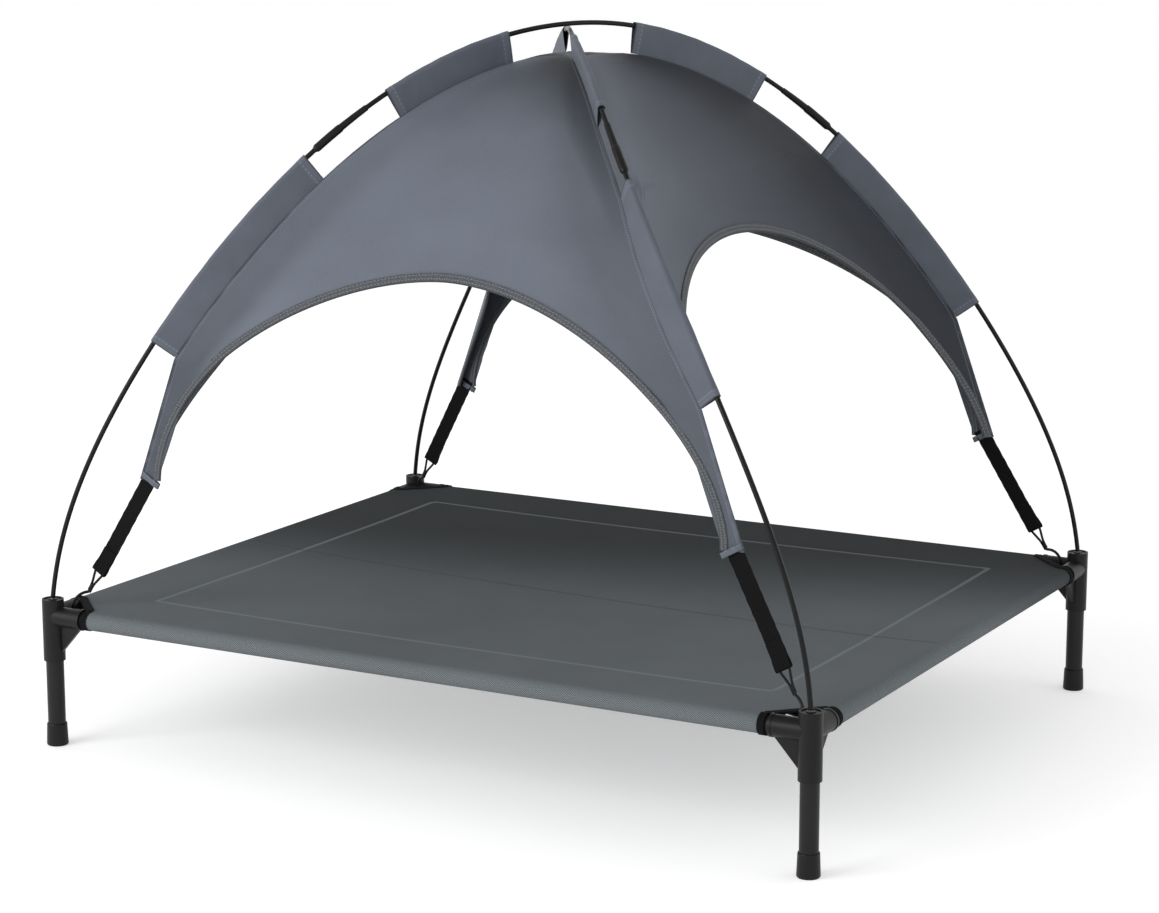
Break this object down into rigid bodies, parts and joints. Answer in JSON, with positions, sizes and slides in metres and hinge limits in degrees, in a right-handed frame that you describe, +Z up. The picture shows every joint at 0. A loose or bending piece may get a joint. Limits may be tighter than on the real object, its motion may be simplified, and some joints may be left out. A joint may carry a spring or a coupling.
{
  "type": "dog bed",
  "caption": "Raised dog bed: a woven sheet in a frame of rails on four legs, under a removable tent canopy on two crossed poles.",
  "frame": {"origin": "on the floor under the centre of the bed", "axes": "+X along the bed's long side, to the right as seen from the front; +Y towards the back; +Z up"},
  "size_m": [1.0542, 0.8762, 0.889],
  "materials": {
    "hub_plastic": "moulded, fine satin grain",
    "leg_steel": "powder-coated, satin",
    "foot_plastic": "matte",
    "bed_mesh": "coated woven mesh",
    "black_tape": "woven tape",
    "hook_wire": "black coated wire",
    "webbing": "ribbed elastic webbing",
    "pole_rod": "smooth glass-fibre rod",
    "ferrule_sleeve": "satin black",
    "tip_steel": "plated",
    "cord_elastic": "braided elastic cord",
    "canopy_cloth": "coated plain-weave cloth with a soft sheen",
    "binding_tape": "grey twill tape, stitched"
  },
  "bodies": {
    "bed_frame": {"corner_hub_front_left": "hub_plastic", "corner_hub_front_right": "hub_plastic", "corner_hub_back_right": "hub_plastic", "corner_hub_back_left": "hub_plastic", "rail_front": "leg_steel", "rail_back": "leg_steel", "rail_left": "leg_steel", "rail_right": "leg_steel", "bed_sheet": "bed_mesh", "bed_sleeve_front": "bed_mesh", "bed_sleeve_back": "bed_mesh", "bed_sleeve_left": "bed_mesh", "bed_sleeve_right": "bed_mesh", "corner_binding": "black_tape", "strap_hook_front_left": "hook_wire", "strap_hook_front_right": "hook_wire", "strap_hook_back_right": "hook_wire", "strap_hook_back_left": "hook_wire"},
    "canopy": {"elastic_strap_front_left": "webbing", "elastic_strap_front_right": "webbing", "elastic_strap_back_right": "webbing", "elastic_strap_back_left": "webbing", "pole_a_left": "pole_rod", "pole_a_middle": "pole_rod", "pole_a_right": "pole_rod", "pole_b_left": "pole_rod", "pole_b_middle": "pole_rod", "pole_b_right": "pole_rod", "ferrules_pole_a": "ferrule_sleeve", "ferrules_pole_b": "ferrule_sleeve", "pole_tips": "tip_steel", "shock_cord_a": "cord_elastic", "shock_cord_b": "cord_elastic", "canopy_front": "canopy_cloth", "canopy_back": "canopy_cloth", "canopy_left": "canopy_cloth", "canopy_right": "canopy_cloth", "low_sleeve_front_left": "canopy_cloth", "low_sleeve_front_right": "canopy_cloth", "low_sleeve_back_right": "canopy_cloth", "low_sleeve_back_left": "canopy_cloth", "top_sleeve_front_left": "canopy_cloth", "top_sleeve_front_right": "canopy_cloth", "top_sleeve_back_right": "canopy_cloth", "top_sleeve_back_left": "canopy_cloth", "doorway_binding_front": "binding_tape", "doorway_binding_back": "binding_tape", "doorway_binding_left": "binding_tape", "doorway_binding_right": "binding_tape"},
    "leg_front_left": {"leg_tube_front_left": "leg_steel", "foot_cap_front_left": "foot_plastic"},
    "leg_front_right": {"leg_tube_front_right": "leg_steel", "foot_cap_front_right": "foot_plastic"},
    "leg_back_right": {"leg_tube_back_right": "leg_steel", "foot_cap_back_right": "foot_plastic"},
    "leg_back_left": {"leg_tube_back_left": "leg_steel", "foot_cap_back_left": "foot_plastic"}
  },
  "joints": [
    {"name": "canopy_lift", "type": "slide", "parent": "bed_frame", "child": "canopy", "axis": [0, 0, 1], "range_m": [0, 0.045], "deforming": ["elastic_strap_front_left", "elastic_strap_front_right", "elastic_strap_back_right", "elastic_strap_back_left"]},
    {"name": "leg_pull_front_left", "type": "slide", "parent": "bed_frame", "child": "leg_front_left", "axis": [0, 0, -1], "range_m": [0, 0.035]},
    {"name": "leg_pull_front_right", "type": "slide", "parent": "bed_frame", "child": "leg_front_right", "axis": [0, 0, -1], "range_m": [0, 0.035]},
    {"name": "leg_pull_back_right", "type": "slide", "parent": "bed_frame", "child": "leg_back_right", "axis": [0, 0, -1], "range_m": [0, 0.035]},
    {"name": "leg_pull_back_left", "type": "slide", "parent": "bed_frame", "child": "leg_back_left", "axis": [0, 0, -1], "range_m": [0, 0.035]}
  ]
}
